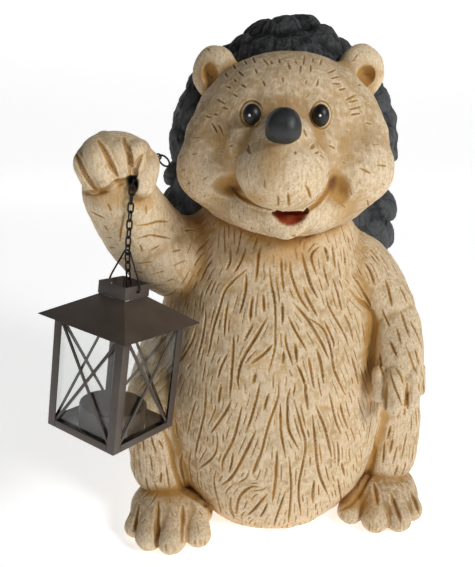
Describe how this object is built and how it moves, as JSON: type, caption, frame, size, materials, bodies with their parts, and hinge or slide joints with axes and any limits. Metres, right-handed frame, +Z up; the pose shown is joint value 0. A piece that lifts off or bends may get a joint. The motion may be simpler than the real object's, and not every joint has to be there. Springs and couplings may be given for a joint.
{
  "type": "hedgehog lantern figurine",
  "caption": "Cast garden hedgehog with a chunky quill coat, standing upright and holding a small glazed metal lantern on a chain from its raised fist.",
  "frame": {"origin": "on the floor at the middle of the flat underside, below the belly", "axes": "+Z up, the face looks along -Y, +X to the viewer's right when the viewer faces the hedgehog"},
  "size_m": [0.2964, 0.2545, 0.4177],
  "materials": {
    "cast_stone": "matte, cream paint with ochre wash in the carving, slate grey quills, nose and eyes",
    "lantern_steel": "satin dark brown-grey paint",
    "lantern_glass": "clear",
    "black_wire": "black steel wire"
  },
  "bodies": {
    "root": {"bottom_rail_1": "lantern_steel", "bottom_rail_2": "lantern_steel", "bottom_rail_3": "lantern_steel", "bottom_rail_4": "lantern_steel", "candle_cup": "lantern_steel", "chain_link_01": "black_wire", "chain_link_02": "black_wire", "chain_link_03": "black_wire", "chain_link_04": "black_wire", "chain_link_05": "black_wire", "chain_link_06": "black_wire", "chain_link_07": "black_wire", "chain_link_08": "black_wire", "chain_link_09": "black_wire", "chain_link_10": "black_wire", "chain_link_11": "black_wire", "chain_link_12": "black_wire", "chain_link_13": "black_wire", "chain_link_14": "black_wire", "chain_link_15": "black_wire", "chain_link_16": "black_wire", "chain_link_17": "black_wire", "chain_link_18": "black_wire", "corner_post_1": "lantern_steel", "corner_post_2": "lantern_steel", "corner_post_3": "lantern_steel", "corner_post_4": "lantern_steel", "cross_brace_1": "lantern_steel", "cross_brace_2": "lantern_steel", "cross_brace_3": "lantern_steel", "cross_brace_4": "lantern_steel", "glass_pane_1": "lantern_glass", "glass_pane_2": "lantern_glass", "glass_pane_3": "lantern_glass", "glass_pane_4": "lantern_glass", "hedgehog_figure": "cast_stone", "lantern_collar": "lantern_steel", "lantern_floor": "lantern_steel", "lantern_roof": "lantern_steel", "stop_ring": "black_wire", "top_rail_1": "lantern_steel", "top_rail_2": "lantern_steel", "top_rail_3": "lantern_steel", "top_rail_4": "lantern_steel", "wire_bail": "black_wire"}
  },
  "joints": []
}
